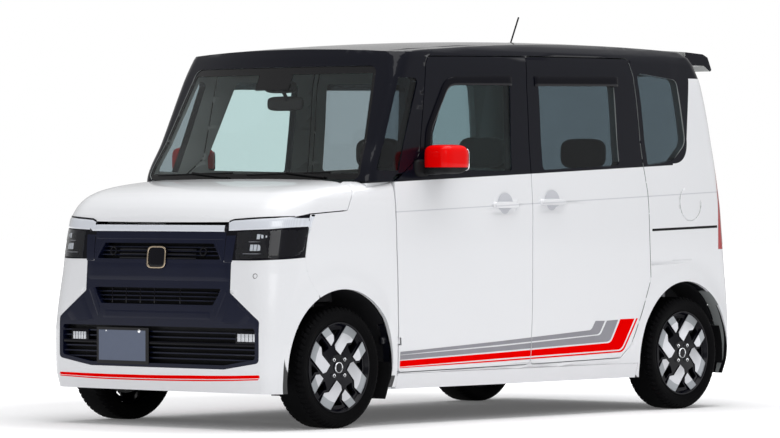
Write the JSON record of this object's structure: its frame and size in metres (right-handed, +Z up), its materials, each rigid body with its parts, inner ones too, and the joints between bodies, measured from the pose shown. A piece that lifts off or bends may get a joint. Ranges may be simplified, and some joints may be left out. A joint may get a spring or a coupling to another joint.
{
  "type": "tall two-box light city car with sliding rear doors",
  "caption": "Tall boxy light passenger car, two-tone body, hinged front doors, bonnet and tailgate, sliding rear doors, steered front wheels.",
  "frame": {"origin": "on the ground, midway along the body's length and across its width", "axes": "+X forward, +Y to the car's left, +Z up"},
  "size_m": [3.3973, 1.761, 1.9267],
  "materials": {
    "white_paint": "pearl white gloss paint",
    "black_paint": "deep black gloss paint",
    "red_paint": "bright red gloss paint",
    "gloss_black": "gloss black moulding",
    "black_plastic": "grained black plastic",
    "lamp_plastic": "clear lamp cover",
    "red_lamp": "red lamp lens",
    "tinted_glass": "green tinted glass",
    "underbody": "dark sealed steel",
    "cast_metal": "cast, rough",
    "steel": "dull steel",
    "wheel_alloy": "machined faces over black",
    "tyre_rubber": "black rubber",
    "interior_plastic": "dark grained interior moulding",
    "seat_fabric": "dark woven seat cover",
    "plate": "blank dark plate"
  },
  "bodies": {
    "body": {"antenna": "black_paint", "body_side_left": "white_paint", "body_side_right": "white_paint", "cowl_panel": "black_plastic", "dashboard": "interior_plastic", "engine_block": "cast_metal", "exhaust": "steel", "floor_pan": "underbody", "front_bumper": "white_paint", "front_seats": "seat_fabric", "front_structure": "underbody", "front_subframe": "underbody", "front_wings": "white_paint", "fuel_tank": "underbody", "headlamps": "lamp_plastic", "left_sliding_door": "white_paint", "mud_flaps": "black_plastic", "number_plate": "plate", "radiator_grille": "gloss_black", "rear_axle": "underbody", "rear_bumper": "white_paint", "rear_dampers": "steel", "rear_seats": "seat_fabric", "right_sliding_door": "white_paint", "roof_panel": "black_paint", "seat_frames": "interior_plastic", "side_glass": "tinted_glass", "side_skirts": "white_paint", "tail_lamps": "red_lamp", "windscreen": "tinted_glass"},
    "front_left_door": {"front_left_door": "white_paint", "front_left_door_glass": "tinted_glass", "left_mirror": "red_paint"},
    "front_right_door": {"front_right_door": "white_paint", "front_right_door_glass": "tinted_glass", "right_mirror": "red_paint"},
    "tailgate": {"tailgate": "white_paint", "tailgate_glass": "tinted_glass", "rear_spoiler": "black_paint"},
    "bonnet": {"bonnet": "white_paint"},
    "left_knuckle": {"left_knuckle": "cast_metal"},
    "right_knuckle": {"right_knuckle": "cast_metal"},
    "front_left_wheel": {"front_left_rim": "wheel_alloy", "front_left_tyre": "tyre_rubber"},
    "front_right_wheel": {"front_right_rim": "wheel_alloy", "front_right_tyre": "tyre_rubber"},
    "rear_left_wheel": {"rear_left_rim": "wheel_alloy", "rear_left_tyre": "tyre_rubber"},
    "rear_right_wheel": {"rear_right_rim": "wheel_alloy", "rear_right_tyre": "tyre_rubber"},
    "steering_wheel": {"steering_wheel": "interior_plastic"},
    "tie_rods": {"tie_rods": "steel"}
  },
  "joints": [
    {"name": "front_left_door_hinge", "type": "hinge", "parent": "body", "child": "front_left_door", "pos_m": [0.845, 0.7075, 0.6], "axis": [0, 0, -1], "range_deg": [0, 65]},
    {"name": "front_right_door_hinge", "type": "hinge", "parent": "body", "child": "front_right_door", "pos_m": [0.845, -0.7075, 0.6], "axis": [0, 0, 1], "range_deg": [0, 65]},
    {"name": "bonnet_hinge", "type": "hinge", "parent": "body", "child": "bonnet", "pos_m": [1.128, 0, 1.095], "axis": [0, -1, 0], "range_deg": [0, 50]},
    {"name": "tailgate_hinge", "type": "hinge", "parent": "body", "child": "tailgate", "pos_m": [-1.418, 0, 1.754], "axis": [0, 1, 0], "range_deg": [0, 85]},
    {"name": "left_steer", "type": "hinge", "parent": "body", "child": "left_knuckle", "pos_m": [1.252, 0.606, 0.176], "axis": [0, -0.1213, 0.9926], "range_deg": [-35, 35]},
    {"name": "right_steer", "type": "hinge", "parent": "body", "child": "right_knuckle", "pos_m": [1.252, -0.606, 0.176], "axis": [0, 0.1213, 0.9926], "range_deg": [-35, 35]},
    {"name": "front_left_wheel_spin", "type": "hinge", "parent": "left_knuckle", "child": "front_left_wheel", "pos_m": [1.252, 0.64, 0.274], "axis": [0, 1, 0], "continuous": true},
    {"name": "front_right_wheel_spin", "type": "hinge", "parent": "right_knuckle", "child": "front_right_wheel", "pos_m": [1.252, -0.64, 0.274], "axis": [0, 1, 0], "continuous": true},
    {"name": "rear_left_wheel_spin", "type": "hinge", "parent": "body", "child": "rear_left_wheel", "pos_m": [-1.268, 0.64, 0.274], "axis": [0, 1, 0], "continuous": true},
    {"name": "rear_right_wheel_spin", "type": "hinge", "parent": "body", "child": "rear_right_wheel", "pos_m": [-1.268, -0.64, 0.274], "axis": [0, 1, 0], "continuous": true},
    {"name": "steering_wheel_turn", "type": "hinge", "parent": "body", "child": "steering_wheel", "pos_m": [0.6, -0.33, 0.96], "axis": [-0.8829, 0, 0.4695], "range_deg": [-541, 541]},
    {"name": "tie_rod_slide", "type": "slide", "parent": "body", "child": "tie_rods", "axis": [0, -1, 0], "range_m": [-0.068, 0.068]}
  ],
  "couplings": [
    {"joint": "right_steer", "follows": "left_steer", "ratio": 1},
    {"joint": "steering_wheel_turn", "follows": "left_steer", "ratio": 15.43},
    {"joint": "tie_rod_slide", "follows": "left_steer", "m_per_rad": 0.11}
  ]
}
